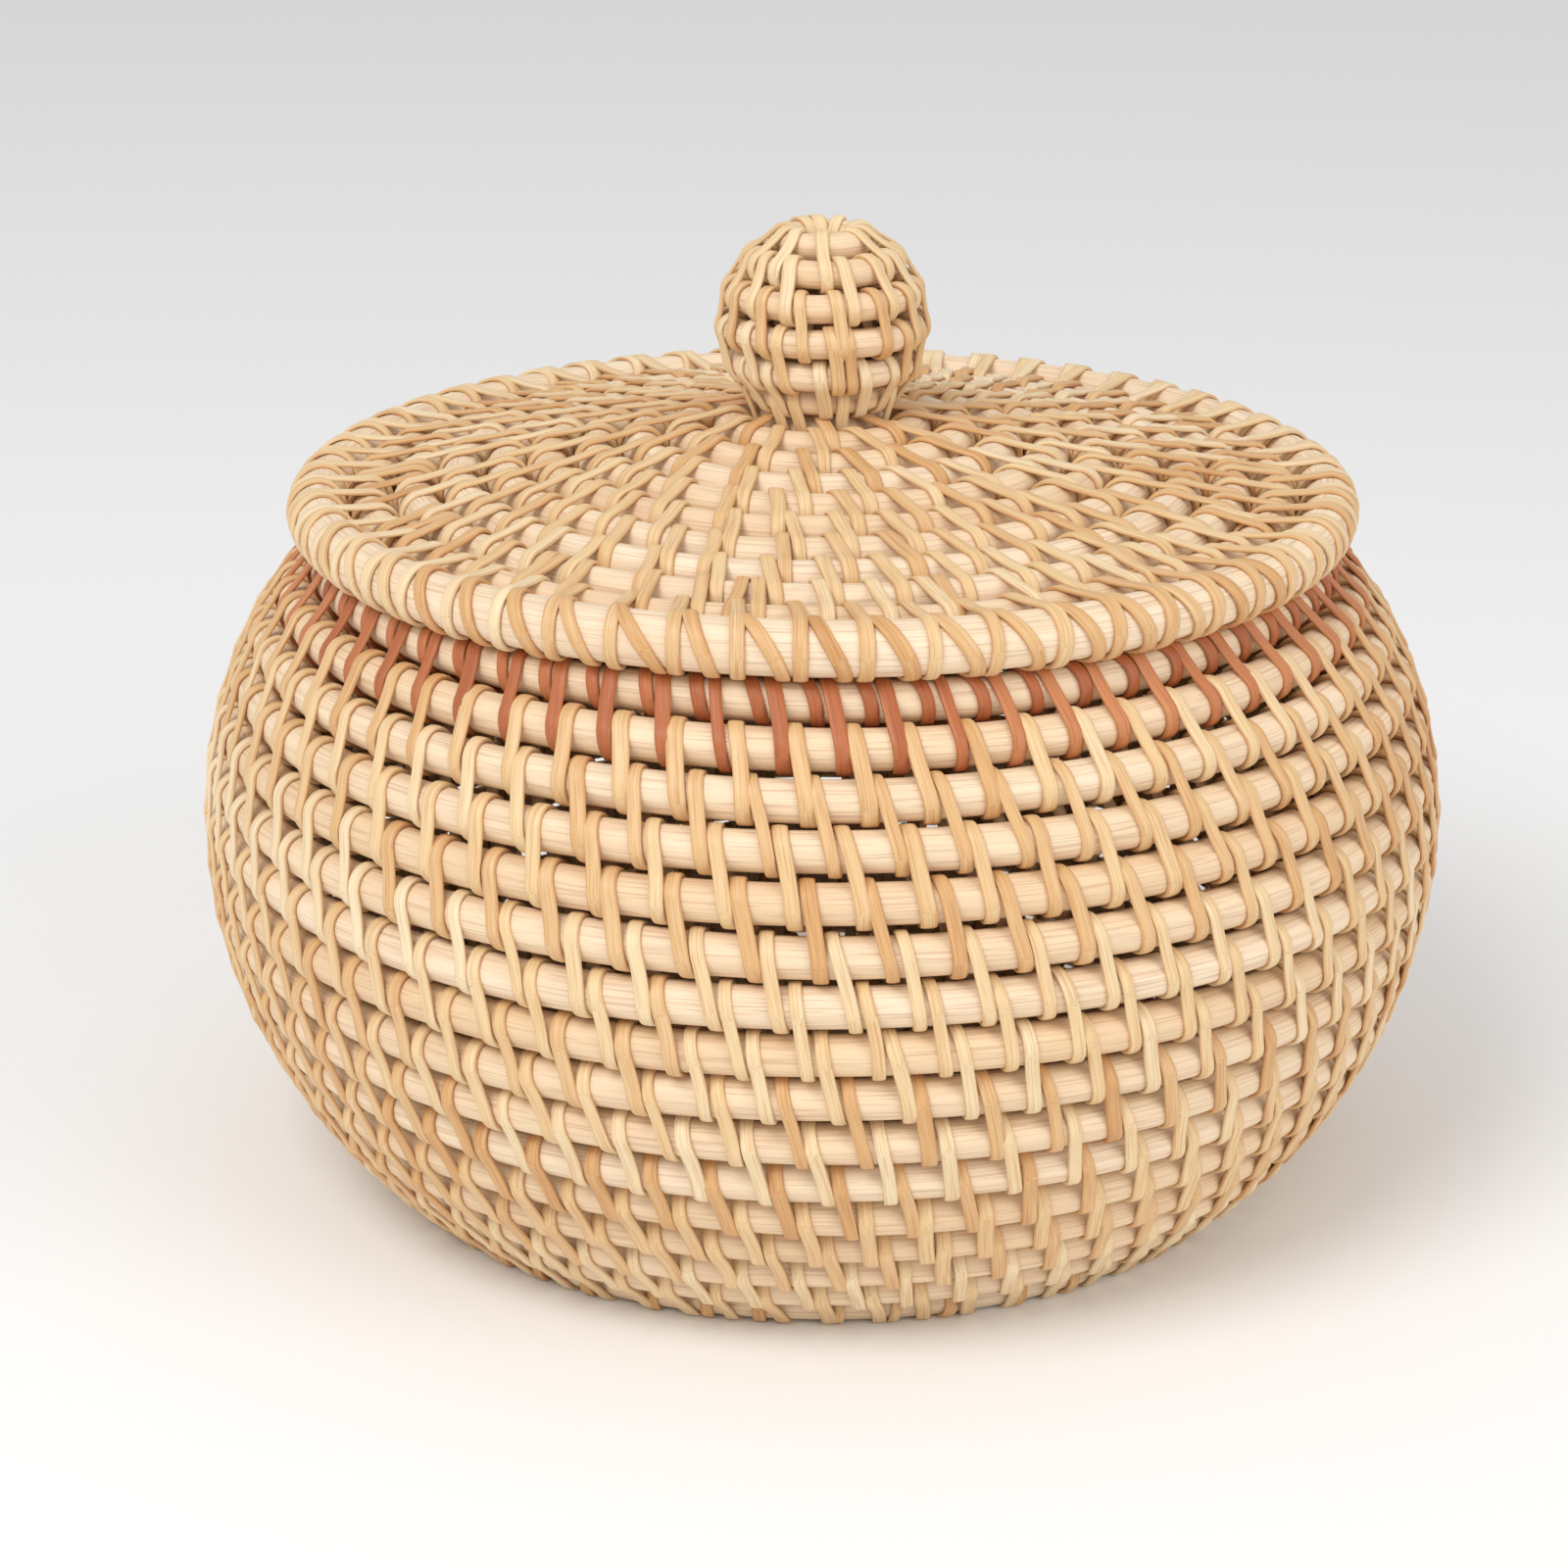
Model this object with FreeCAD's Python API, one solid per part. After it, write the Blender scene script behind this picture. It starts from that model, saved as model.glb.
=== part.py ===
import FreeCAD, Part
import math
import os

# A lidded basket coiled from round rattan core. Each turn of the core is lashed to the next one
# with bands of flat cane that pass through the gaps between the turns. Sizes are in millimetres.
# +Z is up and the origin is the middle of the footprint, on the surface the basket stands on.

# Stock
core_diameter = 8.4          # peeled rattan core of the base, wall and lid
edge_diameter = 11.0         # thicker rod round the lid's edge
knob_core_diameter = 6.0     # finer core coiled into the knob
cane_thickness = 0.6
cane_width = 2.8
knob_cane_width = 1.7

# Basket body: centre line of the core at the foot, the belly and the rim
foot_turn_radius = 94.5
belly_turn_radius = 130.0
belly_height = 81.0
rim_turn_radius = 106.1
rim_height = 138.0
base_eye_radius = 9.5        # innermost turn of the base
base_rise = 2.5              # how far the middle of the base domes up
foot_wear = 0.15             # depth worn flat on the cane under the foot turn

# Lid and knob
lid_overhang = 2.0           # edge rod's centre line outside the rim's
lid_slope = 10.3             # degrees, rise of the lid towards its middle
lid_edge_rise = 0.5          # outermost lid turn above the edge rod
lid_eye_radius = 9.5         # innermost turn of the lid, under the knob
knob_radius = 22.8           # over the cane
knob_top_angle = 24.0        # degrees from the pole to the knob's first turn
knob_turns = 6

# Stitches
wall_stitches = 64           # in every row of the wall
wall_stagger = 0.42          # of a stitch's pitch, back from each row of the wall to the one above
lid_stitches = 56            # round the lid's edge
knob_stitches = 14           # round the middle of the knob
ring_stitch_every = 4        # lid stitches from one that holds the locating ring to the next
stitch_spacing = 8.0         # closest spacing of stitches along a row
knob_stitch_spacing = 6.0

# Clearances
cane_clearance = 0.08        # between cane and core, and between two canes in one gap
seat_clearance = 0.3         # between the lid and the rim
bead_clearance = 0.3         # between the knob's bead and the cane round it

# Where these lead
core_radius = core_diameter / 2
edge_radius = edge_diameter / 2
knob_core_radius = knob_core_diameter / 2
cane_layer = cane_clearance + cane_thickness
turn_gap = 2 * cane_thickness + 3 * cane_clearance
foot_height = core_radius + cane_layer - foot_wear


class Turn:
    """One closed turn of core: its centre line's radius and height, and the core's own radius."""

    def __init__(self, radius, height, thick=core_radius):
        self.radius = radius
        self.height = height
        self.thick = thick

    def hole(self):
        return self.radius - self.thick


def export(name, shape):
    shape.exportStep("parts/" + name + ".step")


def export_turn(name, turn):
    axis_point = FreeCAD.Vector(0, 0, turn.height)
    export(name, Part.makeTorus(turn.radius, turn.thick, axis_point))


def turns_along(length, thick=core_diameter):
    """How many spacings of core fit along a length with room for the cane between turns."""
    return math.floor(length / (thick + turn_gap))


def wall_turns():
    """Turns from the foot to the rim, evenly spaced along two arcs that meet at the belly."""
    low_rise = belly_height - foot_height
    low_reach = belly_turn_radius - foot_turn_radius
    low_arc = (low_rise ** 2 + low_reach ** 2) / (2 * low_reach)
    high_rise = rim_height - belly_height
    high_reach = belly_turn_radius - rim_turn_radius
    high_arc = (high_rise ** 2 + high_reach ** 2) / (2 * high_reach)
    low_length = low_arc * math.atan2(low_rise, low_arc - low_reach)
    high_length = high_arc * math.atan2(high_rise, high_arc - high_reach)
    spacings = turns_along(low_length + high_length)
    pitch = (low_length + high_length) / spacings
    turns = []
    for index in range(spacings + 1):
        past_belly = index * pitch - low_length
        arc = low_arc if past_belly < 0 else high_arc
        angle = past_belly / arc
        radius = belly_turn_radius - arc * (1 - math.cos(angle))
        turns.append(Turn(radius, belly_height + arc * math.sin(angle)))
    return turns


def base_turns(foot):
    """Turns inside the foot turn, going in to the eye, on a shallow dome."""
    spacings = turns_along(foot.radius - base_eye_radius)
    pitch = (foot.radius - base_eye_radius) / spacings
    turns = []
    for index in range(1, spacings + 1):
        radius = foot.radius - index * pitch
        lift = base_rise * (1 - (radius / foot.radius) ** 2)
        turns.append(Turn(radius, foot.height + lift))
    return turns


def lid_edge_turn(rim):
    """The edge rod, resting through its cane on the cane over the rim."""
    reach = core_radius + edge_radius + 2 * cane_layer + seat_clearance
    rise = math.sqrt(reach ** 2 - lid_overhang ** 2)
    return Turn(rim.radius + lid_overhang, rim.height + rise, edge_radius)


def lid_turns(edge):
    """Turns inside the edge rod, going in and up to the one under the knob."""
    first_step = edge_radius + core_radius + turn_gap
    first_run = math.sqrt(first_step ** 2 - lid_edge_rise ** 2)
    outer = Turn(edge.radius - first_run, edge.height + lid_edge_rise)
    slope = math.radians(lid_slope)
    length = (outer.radius - lid_eye_radius) / math.cos(slope)
    spacings = turns_along(length)
    turns = []
    for index in range(spacings + 1):
        along = index * length / spacings
        radius = outer.radius - along * math.cos(slope)
        turns.append(Turn(radius, outer.height + along * math.sin(slope)))
    return turns


def ring_turn(outer, inner):
    """The locating ring, under the gap between the two outermost lid turns."""
    run = outer.radius - inner.radius
    rise = inner.height - outer.height
    span = math.hypot(run, rise)
    drop = 2 * core_radius + cane_layer + cane_clearance
    radius = (outer.radius + inner.radius) / 2 - drop * rise / span
    return Turn(radius, (outer.height + inner.height) / 2 - drop * run / span)


def knob_ball(lid_eye):
    """Centre height and centre-line radius of the ball that the knob's turns lie on, and its turns."""
    ball_radius = knob_radius - knob_core_radius - cane_layer
    half_spacing = (knob_core_diameter + turn_gap) / 2
    step = 2 * math.asin(half_spacing / ball_radius)
    angles = [math.radians(knob_top_angle) + index * step for index in range(knob_turns)]
    low_radius = ball_radius * math.sin(angles[-1])
    reach = core_radius + knob_core_radius + turn_gap
    low_height = lid_eye.height + math.sqrt(reach ** 2 - (low_radius - lid_eye.radius) ** 2)
    centre_height = low_height - ball_radius * math.cos(angles[-1])
    turns = []
    for angle in angles:
        height = centre_height + ball_radius * math.cos(angle)
        turns.append(Turn(ball_radius * math.sin(angle), height, knob_core_radius))
    return centre_height, ball_radius, turns


def belt_wire(turns, layer):
    """A closed belt round the sections of some turns, listed anticlockwise, in the XZ plane."""
    if len(turns) == 1:
        centre = FreeCAD.Vector(turns[0].radius, 0, turns[0].height)
        return Part.Wire(Part.makeCircle(turns[0].thick + layer, centre, FreeCAD.Vector(0, 1, 0)))
    centres = [FreeCAD.Vector(turn.radius, 0, turn.height) for turn in turns]
    radii = [turn.thick + layer for turn in turns]
    count = len(turns)
    normals = []
    for index in range(count):
        after = (index + 1) % count
        span = centres[after] - centres[index]
        taper = (radii[index] - radii[after]) / span.Length
        along = FreeCAD.Vector(span).normalize()
        outward = FreeCAD.Vector(along.z, 0, -along.x)
        normals.append(along * taper + outward * math.sqrt(1 - taper ** 2))
    edges = []
    for index in range(count):
        after = (index + 1) % count
        start = centres[index] + normals[index] * radii[index]
        end = centres[after] + normals[index] * radii[after]
        first = math.atan2(normals[index].z, normals[index].x)
        last = math.atan2(normals[after].z, normals[after].x)
        if last <= first:
            last += 2 * math.pi
        middle = (first + last) / 2
        bulge = FreeCAD.Vector(math.cos(middle), 0, math.sin(middle)) * radii[after]
        turned = centres[after] + normals[after] * radii[after]
        edges.append(Part.makeLine(start, end))
        edges.append(Part.Arc(end, centres[after] + bulge, turned).toShape())
    return Part.Wire(edges)


def band(turns, width):
    """One lashing: a closed band of cane round the sections of some turns, in the XZ plane."""
    outside = belt_wire(turns, cane_layer)
    inside = belt_wire(turns, cane_clearance)
    face = Part.makeFace([outside, inside], "Part::FaceMakerBullseye")
    face.translate(FreeCAD.Vector(0, -width / 2, 0))
    solid = face.extrude(FreeCAD.Vector(0, width, 0))
    if solid.BoundBox.ZMin < 0:
        reach = solid.BoundBox.XMax + cane_width
        above = Part.makeBox(reach, 2 * width, rim_height, FreeCAD.Vector(0, -width, 0))
        solid = solid.common(above)
    return solid


class Stitching:
    """Sets of lashings along a chain of turns, each set staggered between the stitches before it."""

    def __init__(self, finest, width, spacing, count=None, phase=0.0):
        self.finest = finest
        self.width = width
        self.spacing = spacing
        self.count = count or finest
        self.phase = phase

    def width_round(self, tightest):
        """Cane width that lies flat against the inside of a turn whose hole has this radius."""
        return min(self.width, 2 * math.sqrt(2 * cane_clearance * tightest))

    def lash(self, turns, keep=lambda index: True):
        """The bands of one set, round the sections of the given turns."""
        tightest = min(turn.hole() for turn in turns)
        pattern = band(turns, self.width_round(tightest))
        bands = []
        for index in range(self.count):
            if keep(index):
                lashing = pattern.copy()
                angle = self.phase + index * 360 / self.count
                lashing.rotate(FreeCAD.Vector(0, 0, 0), FreeCAD.Vector(0, 0, 1), angle)
                bands.append(lashing)
        return bands

    def fits(self, count, outer, inner):
        """Whether so many stitches leave room for as many from the next set, and aren't too close."""
        tightest = min(outer.hole(), inner.hole())
        room = 2 * math.pi * tightest / count
        row_spacing = math.pi * (outer.radius + inner.radius) / count
        pair = 2 * (self.width_round(tightest) + 2 * cane_clearance)
        return room >= pair and row_spacing >= self.spacing

    def advance(self, outer, inner):
        """Move on to the set between two turns, halving its stitches where the row is short."""
        before = self.count
        self.count = self.finest
        while self.count % 2 == 0 and not self.fits(self.count, outer, inner):
            self.count //= 2
        self.phase += 180 / max(before, self.count)


def export_bands(name, bands):
    export(name, Part.makeCompound(bands))


def gather(rows):
    return [lashing for row in rows for lashing in row]


def make_body(wall, base):
    for index, turn in enumerate(wall):
        export_turn("wall_coil_%02d" % (index + 1), turn)
    for index, turn in enumerate(base):
        export_turn("base_coil_%d" % (index + 1), turn)

    # The wall's first set goes round the foot turn, and the basket stands on it
    stitching = Stitching(wall_stitches, cane_width, stitch_spacing)
    rows = []
    for lower, upper in zip(wall, wall[1:]):
        rows.append(stitching.lash([lower, upper]))
        stitching.phase -= wall_stagger * 360 / wall_stitches
    export_bands("foot_lashing", rows[0])
    for index in range(1, len(rows), 2):
        export_bands("wall_lashing_%d" % ((index + 1) // 2), gather(rows[index:index + 2]))

    # The rim is wrapped once more beside the stitches that hold it
    export_bands("rim_wrap", stitching.lash([wall[-1]]))

    stitching = Stitching(wall_stitches, cane_width, stitch_spacing)
    rows = []
    for outer, inner in zip([wall[0]] + base, base):
        stitching.advance(outer, inner)
        rows.append(stitching.lash([outer, inner]))
    export_bands("base_lashing_outer", rows[0])
    export_bands("base_lashing_inner", gather(rows[1:]))


def make_lid(edge, lid, ring):
    """The lid as far as the knob. Returns its stitching, for the knob to carry on from."""
    export_turn("lid_edge_rod", edge)
    export_turn("lid_ring", ring)
    for index, turn in enumerate(lid):
        export_turn("lid_coil_%02d" % (index + 1), turn)

    # The edge rod is wrapped once more between the stitches that hold it
    stitching = Stitching(lid_stitches, cane_width, stitch_spacing)
    export_bands("edge_wrap", stitching.lash([edge]))
    stitching.phase += 180 / lid_stitches
    export_bands("edge_lashing", stitching.lash([edge, lid[0]]))

    # In the first row of the lid, every so many stitches also go round the locating ring
    stitching.advance(lid[0], lid[1])
    holds_ring = lambda index: index % ring_stitch_every == 0
    export_bands("ring_lashing", stitching.lash([lid[0], lid[1], ring], holds_ring))
    rows = [stitching.lash(lid[0:2], lambda index: not holds_ring(index))]
    for outer, inner in zip(lid[1:], lid[2:]):
        stitching.advance(outer, inner)
        rows.append(stitching.lash([outer, inner]))
    half = len(rows) // 2
    export_bands("lid_lashing_outer", gather(rows[:half]))
    export_bands("lid_lashing_inner", gather(rows[half:]))
    return stitching


def make_knob(knob, bead_radius, bead_height, lid_eye, lid_stitching):
    for index, turn in enumerate(knob):
        export_turn("knob_coil_%d" % (index + 1), turn)
    export("knob_bead", Part.makeSphere(bead_radius, FreeCAD.Vector(0, 0, bead_height)))

    stitching = Stitching(knob_stitches, knob_cane_width, knob_stitch_spacing,
                          lid_stitching.count, lid_stitching.phase)
    rows = []
    upward = [lid_eye] + knob[::-1]
    for lower, upper in zip(upward, upward[1:]):
        stitching.advance(lower, upper)
        rows.append(stitching.lash([lower, upper]))
    export_bands("knob_lashing", gather(rows))


wall = wall_turns()
edge = lid_edge_turn(wall[-1])
lid = lid_turns(edge)
ball_height, ball_radius, knob = knob_ball(lid[-1])
between_turns = math.hypot(knob[0].radius + knob[1].radius, knob[0].height + knob[1].height
                           - 2 * ball_height) / 2
bead_radius = between_turns - knob_core_radius - cane_layer - bead_clearance

make_body(wall, base_turns(wall[0]))
lid_stitching = make_lid(edge, lid, ring_turn(lid[0], lid[1]))
make_knob(knob, bead_radius, ball_height, lid[-1], lid_stitching)
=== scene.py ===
"""A lidded basket coiled from round rattan core and lashed with strips of flat cane.

Each turn of core keeps the radius, height and thickness of its CAD node, and each set of lashings
goes round the same turns as its CAD node. Here the core has its fibres and small wanders, and the
cane leans, bulges and changes colour from one length to the next. Lengths are in metres.
"""
import math

import bpy
import numpy as np
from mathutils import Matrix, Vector


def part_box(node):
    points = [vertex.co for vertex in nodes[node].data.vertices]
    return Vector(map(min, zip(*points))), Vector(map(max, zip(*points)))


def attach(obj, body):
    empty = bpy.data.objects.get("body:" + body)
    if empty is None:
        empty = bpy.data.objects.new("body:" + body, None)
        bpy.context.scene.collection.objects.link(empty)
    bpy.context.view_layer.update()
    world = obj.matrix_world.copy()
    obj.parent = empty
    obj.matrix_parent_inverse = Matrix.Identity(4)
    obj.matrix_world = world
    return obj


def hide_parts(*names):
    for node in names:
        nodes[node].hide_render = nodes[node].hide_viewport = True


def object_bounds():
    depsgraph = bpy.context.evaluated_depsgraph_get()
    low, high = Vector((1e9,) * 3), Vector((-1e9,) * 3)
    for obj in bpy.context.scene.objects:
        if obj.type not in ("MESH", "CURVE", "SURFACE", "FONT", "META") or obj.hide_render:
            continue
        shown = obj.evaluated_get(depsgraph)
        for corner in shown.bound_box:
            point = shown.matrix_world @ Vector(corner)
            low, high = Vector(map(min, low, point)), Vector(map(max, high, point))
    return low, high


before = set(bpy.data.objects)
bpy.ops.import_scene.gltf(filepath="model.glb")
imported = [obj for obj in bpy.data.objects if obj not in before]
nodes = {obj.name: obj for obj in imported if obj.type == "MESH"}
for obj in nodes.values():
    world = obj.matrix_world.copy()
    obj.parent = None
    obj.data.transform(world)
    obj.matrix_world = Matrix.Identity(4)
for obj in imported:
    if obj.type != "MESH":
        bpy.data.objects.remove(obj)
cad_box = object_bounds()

MM = 0.001
TURN = 2 * math.pi

# Core
CORE_SIDES = 28
CORE_STEP = 1.8 * MM             # between sections along a turn
WANDER = 0.075 * MM              # of a turn's centre line, off its circle

# Cane
CANE_THICK = 0.85 * MM
CANE_WIDTH = 3.0 * MM
KNOB_CANE_WIDTH = 2.7 * MM
CANE_LIFT = 0.03 * MM            # between the cane's underside and the core
CANE_WAIST = 0.22 * MM           # how far a strip dips between two turns
CANE_BOW = 0.35 * MM             # how far a strip bends along the row
CANE_SLACK = 0.14 * MM           # how far the loosest strips stand up
STITCH_JITTER = 0.22 * MM

# Stitches, as the CAD source sets them
WALL_STITCHES = 64
STAGGER = 0.42                   # of a stitch's spacing, from one row to the next
LID_STITCHES = 56
RING_STITCH_EVERY = 4
LID_SPACING = 12.0 * MM          # between stitches along a row of the lid or base
KNOB_SPACING = 9.0 * MM
LEAN_SHARE = 0.32                # lean of a strip, as a share of the stitches' spacing
KNOB_LEAN_SHARE = 0.2
RIM_WRAP_LEAN = 2.6 * MM
EDGE_WRAP_LEAN = 7.0 * MM
EDGE_LEAN = 3.5 * MM
RING_PHASE = 0.03

# Light
KEY_POWER = 16
FILL_POWER = 7
WORLD_STRENGTH = 0.62
FLOOR_HALF = 6.0

# Camera
CAMERA_DISTANCE = 0.900
CAMERA_ELEVATION = math.radians(19.71)
CAMERA_LENS = 93.65
AIM_HEIGHT = 0.0831
AIM_SIDE = -0.0082

random = np.random.default_rng(7)


# ---------------------------------------------------------------- core

class Turn:
    """A turn of core: the CAD's circle, with the small wanders of a hand-laid coil."""

    def __init__(self, node):
        low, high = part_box(node)
        self.node = node
        self.thick = (high.z - low.z) / 2
        self.radius = (high.x - low.x) / 2 - self.thick
        self.height = (high.z + low.z) / 2
        calm = min(1.0, self.radius / 0.06)
        self.waves = np.arange(2, 9)
        self.sizes = random.normal(0, WANDER * calm, (2, len(self.waves)))
        self.phases = random.uniform(0, TURN, (2, len(self.waves)))

    def wander(self, angle):
        """How far the centre line is off its circle, outward and up."""
        angle = np.asarray(angle)[..., None]
        out = (self.sizes[0] * np.sin(self.waves * angle + self.phases[0])).sum(-1)
        up = (self.sizes[1] * np.sin(self.waves * angle + self.phases[1])).sum(-1)
        return out, up

    def circle(self):
        return [self.radius, self.height, self.thick + CANE_LIFT]


def mesh_object(name, points, faces, body, material, replaced):
    mesh = bpy.data.meshes.new(name)
    mesh.vertices.add(len(points))
    mesh.vertices.foreach_set("co", points.astype(np.float32).ravel())
    mesh.loops.add(faces.size)
    mesh.loops.foreach_set("vertex_index", faces.astype(np.int32).ravel())
    mesh.polygons.add(len(faces))
    mesh.polygons.foreach_set("loop_start", np.arange(0, faces.size, 4, dtype=np.int32))
    mesh.polygons.foreach_set("use_smooth", np.ones(len(faces), bool))
    mesh.update(calc_edges=True)
    mesh.materials.append(material)
    piece = bpy.data.objects.new(name, mesh)
    bpy.context.scene.collection.objects.link(piece)
    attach(piece, body)
    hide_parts(*replaced)
    return piece


def closed_grid(rows, columns):
    """Quads of a grid that closes on itself both ways."""
    row, column = np.meshgrid(np.arange(rows), np.arange(columns), indexing="ij")
    below = (row + 1) % rows
    beside = (column + 1) % columns
    corners = [row * columns + column, below * columns + column,
               below * columns + beside, row * columns + beside]
    return np.stack(corners, -1).reshape(-1, 4)


def store(mesh, name, kind, values):
    attribute = mesh.attributes.new(name, kind, "POINT")
    field = "vector" if kind == "FLOAT_VECTOR" else "value"
    attribute.data.foreach_set(field, np.asarray(values, np.float32).ravel())


def make_core(turn, body, material, tone):
    around = max(72, int(TURN * turn.radius / CORE_STEP))
    angle = np.linspace(0, TURN, around, endpoint=False)[:, None]
    side = np.linspace(0, TURN, CORE_SIDES, endpoint=False)[None, :]
    out, up = turn.wander(angle)
    # The section is a little flat-sided, and the flats turn slowly along the core
    drift = 0.7 * np.sin(3 * angle + turn.phases[0][0]) + turn.phases[1][0]
    swell = 0.012 * np.sin(5 * angle + turn.phases[0][1])
    flats = 0.012 * np.cos(5 * side + drift) + 0.007 * np.cos(9 * side - 2 * drift)
    thick = turn.thick * (1 + flats + swell)
    radius = turn.radius + out + thick * np.cos(side)
    height = turn.height + up + thick * np.sin(side)
    points = np.stack([radius * np.cos(angle), radius * np.sin(angle), height], -1).reshape(-1, 3)
    piece = mesh_object(turn.node + "_core", points, closed_grid(around, CORE_SIDES)[:, ::-1], body,
                        material, [turn.node])
    store(piece.data, "tone", "FLOAT", np.full(len(points), tone))
    return piece


# ---------------------------------------------------------------- cane

def belt(turns, around=44, between=7):
    """Points and outward normals of a tight belt round the sections of some turns."""
    circles = np.array([turn.circle() for turn in turns])
    angle = np.linspace(0, TURN, around, endpoint=False)
    facing = np.stack([np.cos(angle), np.sin(angle)], -1)
    reach = circles[:, :2] @ facing.T + circles[:, 2:3]
    active = reach.argmax(0)
    points, normals = [], []
    for index in range(around):
        here, after = active[index], active[(index + 1) % around]
        normal, turned = facing[index], facing[(index + 1) % around]
        point = circles[here, :2] + circles[here, 2] * normal
        points.append(point)
        normals.append(normal)
        if after != here:
            arrive = circles[after, :2] + circles[after, 2] * turned
            for step in range(1, between + 1):
                share = step / (between + 1)
                middle = normal + (turned - normal) * share
                middle = middle / np.linalg.norm(middle)
                dip = CANE_WAIST * math.sin(math.pi * share)
                points.append(point + (arrive - point) * share - middle * dip)
                normals.append(middle)
    return np.array(points), np.array(normals)


SECTION = np.array([(-1.0, 0.25), (-0.97, 0.72), (-0.84, 0.93), (-0.45, 1.03), (0.0, 1.07),
                    (0.45, 1.03), (0.84, 0.93), (0.97, 0.72), (1.0, 0.25), (0.85, 0.0),
                    (-0.85, 0.0)])


def lash(turns, angles, lean, width, tones, bow=CANE_BOW):
    """Strips round the given turns at the given angles: points, quads, cane places and tones."""
    path, normals = belt(turns)
    first, last = turns[0], turns[-1] if len(turns) < 3 else turns[1]
    if len(turns) == 1:
        span = np.array([-math.sin(0.6), math.cos(0.6)]) * first.thick
        middle = np.array([first.radius, first.height])
    else:
        ends = np.array([[first.radius, first.height], [last.radius, last.height]])
        middle = ends.mean(0)
        span = ends[1] - ends[0]
    along_span = ((path - middle) @ span) / (span @ span)
    reach = np.abs(along_span).max()
    place = along_span / reach                                     # -1 at the foot, 1 at the top
    count, steps = len(angles), len(path)
    angles = np.asarray(angles)
    jitter = random.normal(0, STITCH_JITTER, count)
    leans = lean * (1 + random.normal(0, 0.16, count))
    bows = bow * random.normal(0.6, 0.8, count)
    widths = width / 2 * (1 + random.normal(0, 0.07, count))
    lifts = random.uniform(0, CANE_SLACK, count)
    shift = (jitter[:, None] - leans[:, None] / 2 * place[None, :]
             + bows[:, None] * (1 - place[None, :] ** 2))
    weight = np.clip((place + 1) / 2, 0, 1)[None, :]
    out_low, up_low = first.wander(angles)
    out_high, up_high = last.wander(angles)
    lifted = lifts[:, None] * (1 - place[None, :] ** 4)
    radius = path[None, :, 0] + out_low[:, None] * (1 - weight) + out_high[:, None] * weight
    height = path[None, :, 1] + up_low[:, None] * (1 - weight) + up_high[:, None] * weight
    radius = radius + normals[None, :, 0] * lifted
    height = height + normals[None, :, 1] * lifted
    turned = angles[:, None] + shift / np.maximum(radius, 2 * MM)
    centre = np.stack([radius * np.cos(turned), radius * np.sin(turned), height], -1)
    normal = np.stack([normals[None, :, 0] * np.cos(turned), normals[None, :, 0] * np.sin(turned),
                       np.broadcast_to(normals[None, :, 1], turned.shape)], -1)
    onward = np.roll(centre, -1, 1) - np.roll(centre, 1, 1)
    onward /= np.linalg.norm(onward, axis=-1, keepdims=True)
    side = np.cross(onward, normal)
    side /= np.linalg.norm(side, axis=-1, keepdims=True)
    normal = np.cross(side, onward)
    across = SECTION[:, 0][None, None, :] * widths[:, None, None]
    across = np.broadcast_to(across, (count, steps, len(SECTION)))
    raised = SECTION[:, 1] * CANE_THICK
    points = (centre[:, :, None, :] + side[:, :, None, :] * across[..., None]
              + normal[:, :, None, :] * raised[None, None, :, None])
    step_lengths = np.linalg.norm(np.roll(path, -1, 0) - path, axis=-1)
    run = np.concatenate([[0], np.cumsum(step_lengths)[:-1]])
    seeds = random.uniform(0, 50, count)
    cane = np.stack([across, np.broadcast_to(run[None, :, None], across.shape),
                     np.broadcast_to(seeds[:, None, None] * MM, across.shape)], -1)
    per_strip = steps * len(SECTION)
    quads = closed_grid(steps, len(SECTION))
    faces = np.concatenate([quads + index * per_strip for index in range(count)])
    tone = np.repeat(np.asarray(tones), per_strip)
    return points.reshape(-1, 3), faces, cane.reshape(-1, 3) / MM, tone


def join_lashings(name, sets, body, material):
    """One piece of several sets of strips, standing for the CAD node of that name."""
    points, faces, cane, tone = [], [], [], []
    first = 0
    for made in sets:
        points.append(made[0])
        faces.append(made[1] + first)
        cane.append(made[2])
        tone.append(made[3])
        first += len(made[0])
    piece = mesh_object(name + "_cane", np.concatenate(points), np.concatenate(faces), body,
                        material, [name])
    store(piece.data, "cane", "FLOAT_VECTOR", np.concatenate(cane))
    store(piece.data, "tone", "FLOAT", np.concatenate(tone))
    return piece


def cane_tones(count, low=0.1, high=0.75):
    """A tone for each stitch of a row. One length of cane makes several stitches running."""
    tones = np.empty(count)
    index = 0
    while index < count:
        run = int(random.integers(6, 22))
        tones[index:index + run] = random.uniform(low, high)
        index += run
    return np.clip(tones + random.normal(0, 0.07, count), 0, 1)


def evenly(count, phase):
    return phase + np.arange(count) * TURN / count


def follow(before, count, radius, lean, width):
    """Angles for a row inside another: even, but each clear of the strips it stands beside."""
    beside = np.sort(np.mod(np.asarray(before) - lean / 4 / radius, TURN))
    pitch = TURN / len(beside)
    wanted = np.sort(np.mod(evenly(count, beside[0] - STAGGER * pitch), TURN))
    clear = min((width + 0.15 * MM) / radius, pitch * 0.45)
    ring = np.concatenate([[beside[-1] - TURN], beside, [beside[0] + TURN]])
    after = np.searchsorted(ring, wanted)
    low, high = ring[after - 1] + clear, ring[after] - clear
    chosen = np.where(low < high, np.clip(wanted, low, high), (low + high) / 2)
    return chosen - lean / 4 / radius


# ---------------------------------------------------------------- materials

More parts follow.
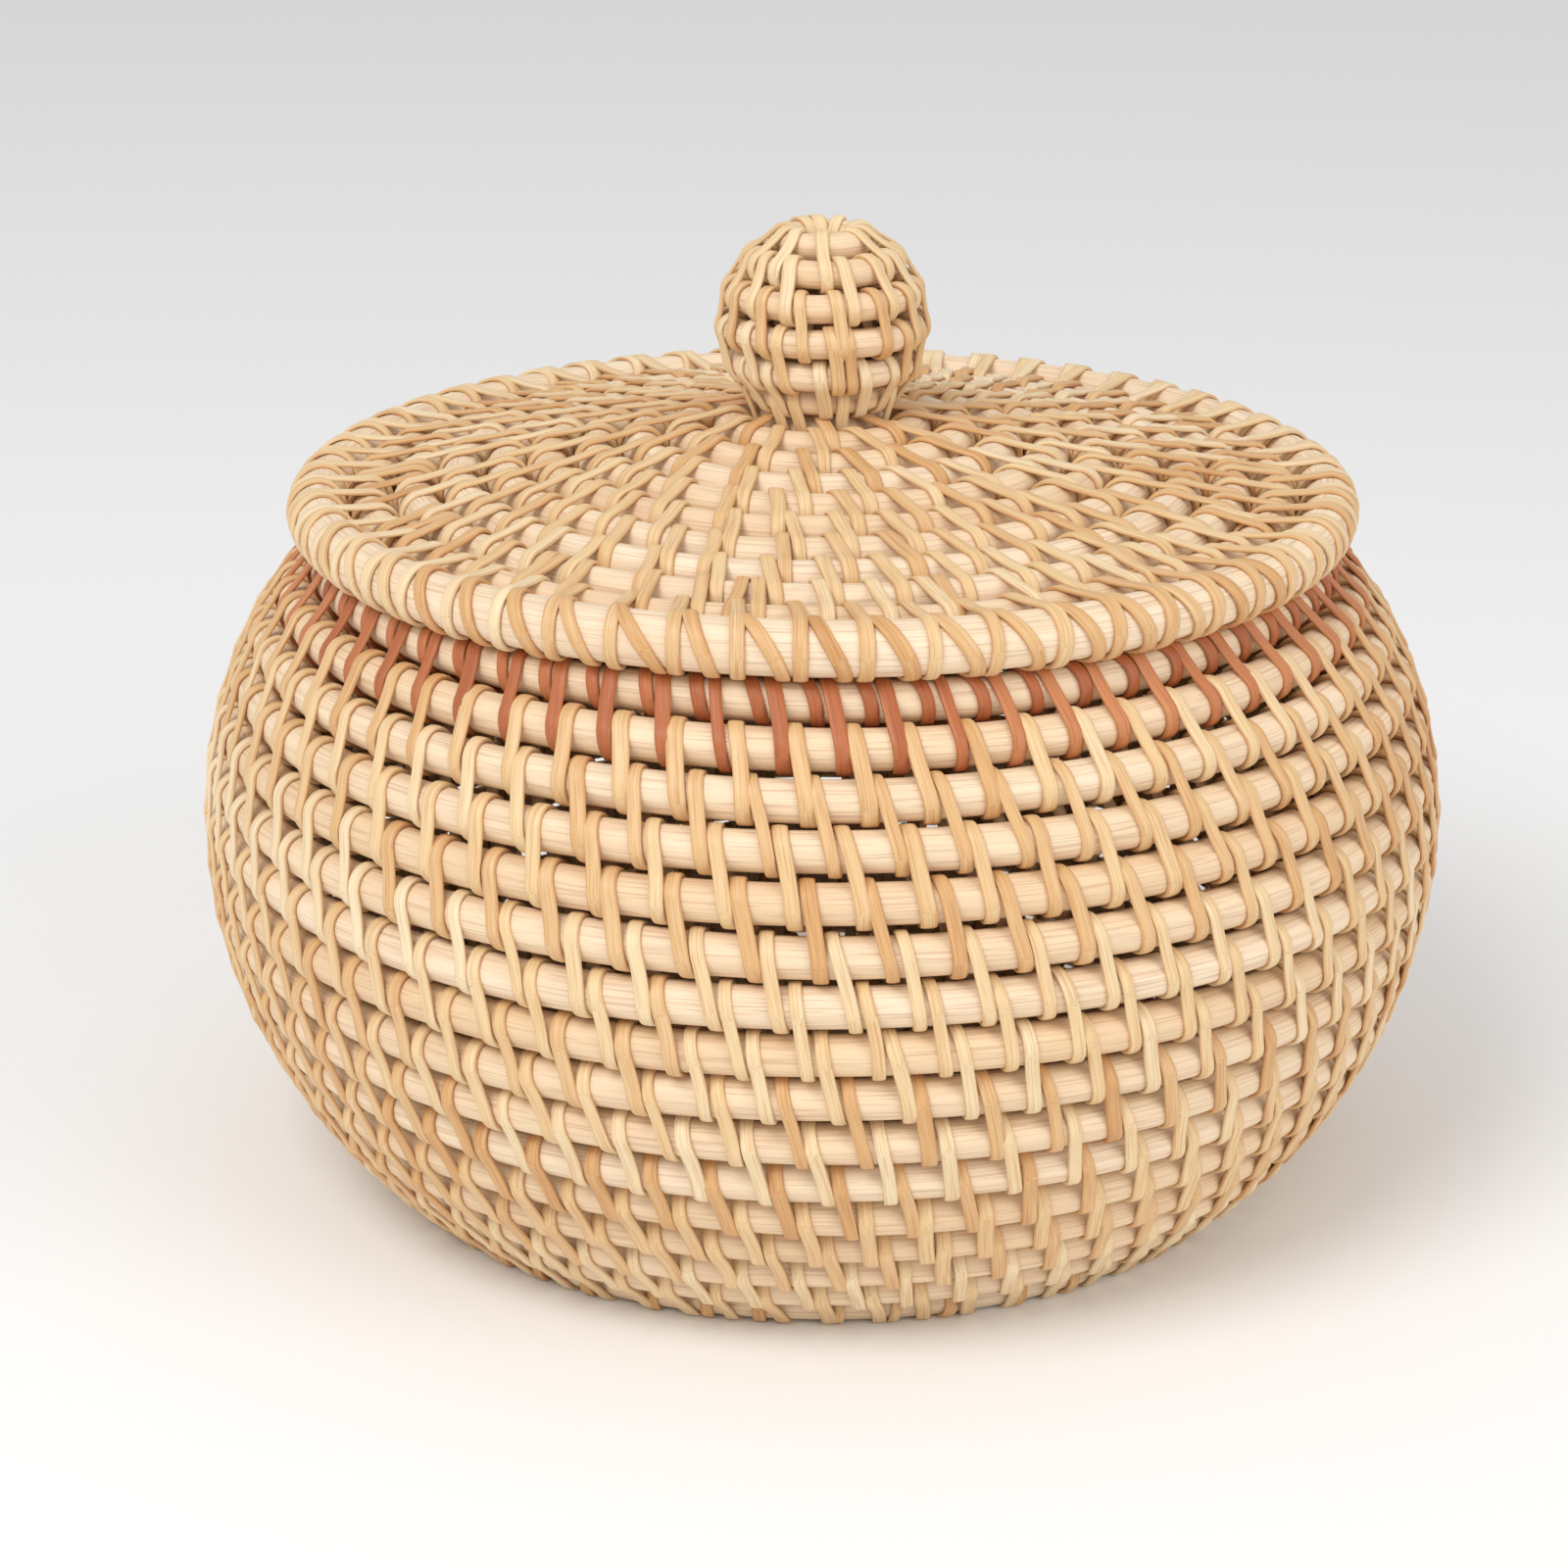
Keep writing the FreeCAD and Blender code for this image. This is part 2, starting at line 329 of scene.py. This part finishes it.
class Nodes:
    """A short way to write a material's nodes."""

    def __init__(self, name):
        self.material = bpy.data.materials.new(name)
        self.material.use_nodes = True
        self.tree = self.material.node_tree
        self.shader = self.tree.nodes["Principled BSDF"]

    def link(self, value, socket):
        if hasattr(value, "is_output"):
            self.tree.links.new(value, socket)
        elif value is not None:
            socket.default_value = value

    def math(self, operation, a, b=None):
        node = self.tree.nodes.new("ShaderNodeMath")
        node.operation = operation
        self.link(a, node.inputs[0])
        self.link(b, node.inputs[1])
        return node.outputs[0]

    def combine(self, x, y, z):
        node = self.tree.nodes.new("ShaderNodeCombineXYZ")
        for value, socket in zip((x, y, z), node.inputs):
            self.link(value, socket)
        return node.outputs[0]

    def noise(self, vector, detail=2.0, w=None, rough=0.5):
        node = self.tree.nodes.new("ShaderNodeTexNoise")
        node.noise_dimensions = "4D" if w is not None else "3D"
        self.link(vector, node.inputs["Vector"])
        if w is not None:
            self.link(w, node.inputs["W"])
        node.inputs["Scale"].default_value = 1.0
        node.inputs["Detail"].default_value = detail
        node.inputs["Roughness"].default_value = rough
        return node.outputs["Fac"]

    def ramp(self, value, stops):
        node = self.tree.nodes.new("ShaderNodeValToRGB")
        elements = node.color_ramp.elements
        while len(elements) < len(stops):
            elements.new(0.5)
        for element, (position, colour) in zip(elements, stops):
            element.position = position
            element.color = (*colour, 1)
        self.link(value, node.inputs[0])
        return node.outputs[0]

    def stretch(self, value, low, high):
        """0 at low, 1 at high, smoothly."""
        node = self.tree.nodes.new("ShaderNodeMapRange")
        node.interpolation_type = "SMOOTHSTEP"
        self.link(value, node.inputs["Value"])
        node.inputs["From Min"].default_value = low
        node.inputs["From Max"].default_value = high
        return node.outputs[0]

    def mix(self, share, a, b, blend="MIX"):
        node = self.tree.nodes.new("ShaderNodeMix")
        node.data_type = "RGBA"
        node.blend_type = blend
        self.link(share, node.inputs[0])
        self.link(a, node.inputs[6])
        self.link(b, node.inputs[7])
        return node.outputs[2]

    def attribute(self, name, output="Fac"):
        node = self.tree.nodes.new("ShaderNodeAttribute")
        node.attribute_name = name
        return node.outputs[output]

    def bump(self, height, distance, strength=1.0):
        node = self.tree.nodes.new("ShaderNodeBump")
        node.inputs["Strength"].default_value = strength
        node.inputs["Distance"].default_value = distance
        self.link(height, node.inputs["Height"])
        self.link(node.outputs[0], self.shader.inputs["Normal"])

    def split(self, vector):
        node = self.tree.nodes.new("ShaderNodeSeparateXYZ")
        self.link(vector, node.inputs[0])
        return node.outputs


def tint(red, green, blue):
    """A colour given as it looks on screen, 0 to 255, in the linear values that shaders use."""
    return tuple(((value / 255 + 0.055) / 1.055) ** 2.4 for value in (red, green, blue))


def core_material():
    """Peeled rattan core: cream, with fine fibres lengthwise and a soft sheen."""
    n = Nodes("rattan_core")
    place = n.tree.nodes.new("ShaderNodeTexCoord").outputs["Object"]
    x, y, z = n.split(place)
    out = n.math("SQRT", n.math("ADD", n.math("MULTIPLY", x, x), n.math("MULTIPLY", y, y)))

    def fibre(width, length, detail, rough=0.55):
        across = n.combine(n.math("MULTIPLY", out, 1 / width), n.math("MULTIPLY", z, 1 / width),
                           n.math("MULTIPLY", x, 1 / length))
        return n.noise(across, detail, n.math("MULTIPLY", y, 1 / length), rough)

    fine = fibre(0.42 * MM, 22 * MM, 2.5)
    broad = fibre(1.7 * MM, 30 * MM, 2.0)
    patch = fibre(14 * MM, 26 * MM, 2.0)
    tone = n.math("ADD", n.attribute("tone"), n.math("MULTIPLY", patch, 0.55))
    base = n.ramp(tone, [(0.10, tint(250, 232, 205)), (0.45, tint(243, 218, 183)),
                         (0.85, tint(231, 196, 150)), (1.0, tint(222, 180, 130))])
    banded = n.mix(n.stretch(broad, 0.38, 0.62), n.mix(0.35, base, (*tint(228, 192, 158), 1)), base)
    lines = n.stretch(fine, 0.36, 0.50)
    colour = n.mix(n.math("MULTIPLY", n.math("SUBTRACT", 1.0, lines), 0.42), banded,
                   (*tint(190, 145, 108), 1))
    n.link(colour, n.shader.inputs["Base Color"])
    n.link(n.math("ADD", 0.40, n.math("MULTIPLY", broad, 0.2)), n.shader.inputs["Roughness"])
    n.bump(n.math("ADD", fine, n.math("MULTIPLY", broad, 0.5)), 0.14 * MM, 0.75)
    return n.material


def cane_material(name, stops):
    """Split cane: satin, with lengthwise fibres and darker edges."""
    n = Nodes(name)
    across, along, seed = n.split(n.attribute("cane", "Vector"))

    def fibre(width, length, detail):
        return n.noise(n.combine(n.math("MULTIPLY", across, 1 / width),
                                 n.math("MULTIPLY", along, 1 / length),
                                 n.math("MULTIPLY", seed, 3.1)), detail)

    fine = fibre(0.30, 14.0, 2.5)
    broad = fibre(1.3, 18.0, 2.0)
    tone = n.math("ADD", n.attribute("tone"), n.math("MULTIPLY", n.math("SUBTRACT", broad, 0.5), 0.5))
    base = n.ramp(tone, stops)
    lines = n.math("SUBTRACT", 1.0, n.stretch(fine, 0.34, 0.52))
    colour = n.mix(n.math("MULTIPLY", lines, 0.38), base,
                   n.mix(1.0, base, (*tint(205, 150, 105), 1), "MULTIPLY"))
    edge = n.stretch(n.math("ABSOLUTE", across), 1.05, 1.6)
    colour = n.mix(n.math("MULTIPLY", edge, 0.30), colour, (*tint(196, 138, 86), 1))
    n.link(colour, n.shader.inputs["Base Color"])
    n.link(n.math("ADD", 0.36, n.math("MULTIPLY", broad, 0.22)), n.shader.inputs["Roughness"])
    n.bump(n.math("ADD", fine, n.math("MULTIPLY", broad, 0.4)), 0.12 * MM, 0.7)
    return n.material


def wood_material():
    """Plain turned wood, hidden in the knob."""
    n = Nodes("bead_wood")
    place = n.tree.nodes.new("ShaderNodeTexCoord").outputs["Object"]
    x, y, z = n.split(place)
    grain = n.noise(n.combine(n.math("MULTIPLY", x, 900.0), n.math("MULTIPLY", y, 900.0),
                              n.math("MULTIPLY", z, 90.0)), 3.0)
    n.link(n.ramp(grain, [(0.3, tint(150, 108, 70)), (0.7, tint(190, 146, 100))]),
           n.shader.inputs["Base Color"])
    n.shader.inputs["Roughness"].default_value = 0.6
    n.bump(grain, 0.1 * MM, 0.5)
    return n.material


CREAM_TO_HONEY = [(0.0, tint(244, 224, 186)), (0.35, tint(234, 202, 152)),
                  (0.7, tint(219, 172, 116)), (1.0, tint(196, 136, 80))]
RUSSET = [(0.0, tint(206, 136, 88)), (0.5, tint(186, 108, 62)), (1.0, tint(160, 84, 44))]

core = core_material()
cane = cane_material("split_cane", CREAM_TO_HONEY)
russet = cane_material("russet_cane", RUSSET)


# ---------------------------------------------------------------- the basket

def turns_of(prefix):
    return [Turn(node) for node in sorted(nodes) if node.startswith(prefix)]


wall = turns_of("wall_coil_")
base = turns_of("base_coil_")
lid = turns_of("lid_coil_")
knob = turns_of("knob_coil_")
edge, ring = Turn("lid_edge_rod"), Turn("lid_ring")

for turn in wall + base:
    make_core(turn, "basket", core, random.uniform(0.0, 0.4))
for turn in lid + knob + [edge, ring]:
    make_core(turn, "lid", core, random.uniform(0.0, 0.35))


def lean_at(pitch, radius, share=LEAN_SHARE):
    """How far a strip leans over its two turns, as a share of the stitches' spacing there."""
    return share * pitch * radius


def make_wall():
    pitch = TURN / WALL_STITCHES
    rows = []
    phase = 0.0
    for lower, upper in zip(wall, wall[1:]):
        radius = (lower.radius + upper.radius) / 2
        width = min(CANE_WIDTH * random.uniform(0.93, 1.05), 0.29 * pitch * radius)
        lean = lean_at(pitch, radius) * random.uniform(0.85, 1.15)
        tones = cane_tones(WALL_STITCHES)
        rows.append(lash([lower, upper], evenly(WALL_STITCHES, phase), lean, width, tones))
        phase -= STAGGER * pitch
    join_lashings("foot_lashing", rows[:1], "basket", cane)
    for index in range(1, len(rows) - 2, 2):
        name = "wall_lashing_%d" % ((index + 1) // 2)
        join_lashings(name, rows[index:index + 2], "basket", cane)
    # The last length of cane, under the rim, is a darker one
    last = "wall_lashing_%d" % (len(rows) // 2)
    lighter, darker = rows[-2:]
    both = join_lashings(last, [lighter, darker], "basket", cane)
    both.data.materials.append(russet)
    count = len(both.data.polygons)
    index = np.zeros(count, np.int32)
    index[len(lighter[1]):] = 1
    both.data.polygons.foreach_set("material_index", index)
    wraps = lash([wall[-1]], evenly(WALL_STITCHES, phase), RIM_WRAP_LEAN, CANE_WIDTH * 0.9,
                 cane_tones(WALL_STITCHES, 0.4, 1.0))
    join_lashings("rim_wrap", [wraps], "basket", russet)


def make_rows_inward(chain, angles, width):
    rows = []
    for outer, inner in zip(chain, chain[1:]):
        radius = (outer.radius + inner.radius) / 2
        count = max(6, round(TURN * radius / LID_SPACING))
        lean = lean_at(TURN / count, radius)
        angles = follow(angles, count, outer.radius, lean, width)
        rows.append(lash([outer, inner], angles, lean, width, cane_tones(count)))
    return rows, angles


def make_base():
    start = evenly(WALL_STITCHES, 0.0)
    rows, _ = make_rows_inward([wall[0]] + base, start, CANE_WIDTH * 0.9)
    join_lashings("base_lashing_outer", rows[:1], "basket", cane)
    join_lashings("base_lashing_inner", rows[1:], "basket", cane)


def make_lid():
    pitch = TURN / LID_STITCHES
    stitches = evenly(LID_STITCHES, pitch / 2)
    wraps = lash([edge], evenly(LID_STITCHES, 0.0), EDGE_WRAP_LEAN, CANE_WIDTH,
                 cane_tones(LID_STITCHES))
    join_lashings("edge_wrap", [wraps], "lid", cane)
    over = lash([edge, lid[0]], stitches, EDGE_LEAN, CANE_WIDTH, cane_tones(LID_STITCHES))
    join_lashings("edge_lashing", [over], "lid", cane)
    rows, angles = make_rows_inward(lid, stitches, CANE_WIDTH)
    join_lashings("lid_lashing_outer", rows[:4], "lid", cane)
    join_lashings("lid_lashing_inner", rows[4:], "lid", cane)
    holds = LID_STITCHES // RING_STITCH_EVERY
    hold = lash([lid[0], lid[1], ring], evenly(holds, RING_PHASE), 0.0, CANE_WIDTH * 0.9,
                cane_tones(holds))
    join_lashings("ring_lashing", [hold], "lid", cane)
    return angles


def make_knob(angles):
    climb = [lid[-1]] + knob[::-1]
    rows = []
    for lower, upper in zip(climb, climb[1:]):
        radius = (lower.radius + upper.radius) / 2
        count = max(7, round(TURN * (radius + 3 * MM) / KNOB_SPACING))
        lean = lean_at(TURN / count, radius, KNOB_LEAN_SHARE)
        angles = follow(angles, count, max(lower.radius, 8 * MM), lean, KNOB_CANE_WIDTH)
        rows.append(lash([lower, upper], angles, lean, KNOB_CANE_WIDTH, cane_tones(count, 0.0, 0.6)))
    join_lashings("knob_lashing", rows, "lid", cane)


make_wall()
make_base()
make_knob(make_lid())
nodes["knob_bead"].data.materials.clear()
nodes["knob_bead"].data.materials.append(wood_material())


# ---------------------------------------------------------------- stage, light and camera

def make_floor():
    mesh = bpy.data.meshes.new("floor")
    signs = [(-1, -1), (1, -1), (1, 1), (-1, 1)]
    corners = [(x * FLOOR_HALF, y * FLOOR_HALF, 0) for x, y in signs]
    mesh.from_pydata(corners, [], [(0, 1, 2, 3)])
    floor = bpy.data.objects.new("floor", mesh)
    bpy.context.scene.collection.objects.link(floor)
    n = Nodes("floor")
    n.shader.inputs["Base Color"].default_value = (0.95, 0.95, 0.95, 1)
    n.shader.inputs["Roughness"].default_value = 0.9
    mesh.materials.append(n.material)


def area_light(name, place, size, power, aim):
    light = bpy.data.lights.new(name, "AREA")
    light.shape = "DISK"
    light.size = size
    light.energy = power
    holder = bpy.data.objects.new(name, light)
    holder.location = place
    holder.rotation_euler = (Vector(aim) - Vector(place)).to_track_quat("-Z", "Y").to_euler()
    bpy.context.scene.collection.objects.link(holder)


def make_light(middle):
    area_light("key", (-0.7, -1.0, 1.5), 1.0, KEY_POWER, middle)
    area_light("fill", (1.2, -1.0, 0.9), 1.2, FILL_POWER, middle)
    world = bpy.data.worlds.new("studio")
    bpy.context.scene.world = world
    world.use_nodes = True
    tree = world.node_tree
    ground = tree.nodes["Background"]
    ground.inputs["Color"].default_value = (1, 1, 1, 1)
    ground.inputs["Strength"].default_value = WORLD_STRENGTH
    seen = tree.nodes.new("ShaderNodeBackground")
    seen.inputs["Color"].default_value = (1, 1, 1, 1)
    seen.inputs["Strength"].default_value = 1.0
    rays = tree.nodes.new("ShaderNodeLightPath")
    mixed = tree.nodes.new("ShaderNodeMixShader")
    tree.links.new(rays.outputs["Is Camera Ray"], mixed.inputs[0])
    tree.links.new(ground.outputs[0], mixed.inputs[1])
    tree.links.new(seen.outputs[0], mixed.inputs[2])
    tree.links.new(mixed.outputs[0], tree.nodes["World Output"].inputs[0])


def make_camera():
    data = bpy.data.cameras.new("camera")
    data.lens = CAMERA_LENS
    data.sensor_width = 36
    camera = bpy.data.objects.new("camera", data)
    aim = Vector((AIM_SIDE, 0, AIM_HEIGHT))
    back = Vector((0, -math.cos(CAMERA_ELEVATION), math.sin(CAMERA_ELEVATION)))
    camera.location = aim + back * CAMERA_DISTANCE
    camera.rotation_euler = (-back).to_track_quat("-Z", "Y").to_euler()
    bpy.context.scene.collection.objects.link(camera)
    bpy.context.scene.camera = camera


make_floor()
make_light((cad_box[0] + cad_box[1]) / 2)
make_camera()
bpy.context.scene.view_settings.view_transform = "Standard"
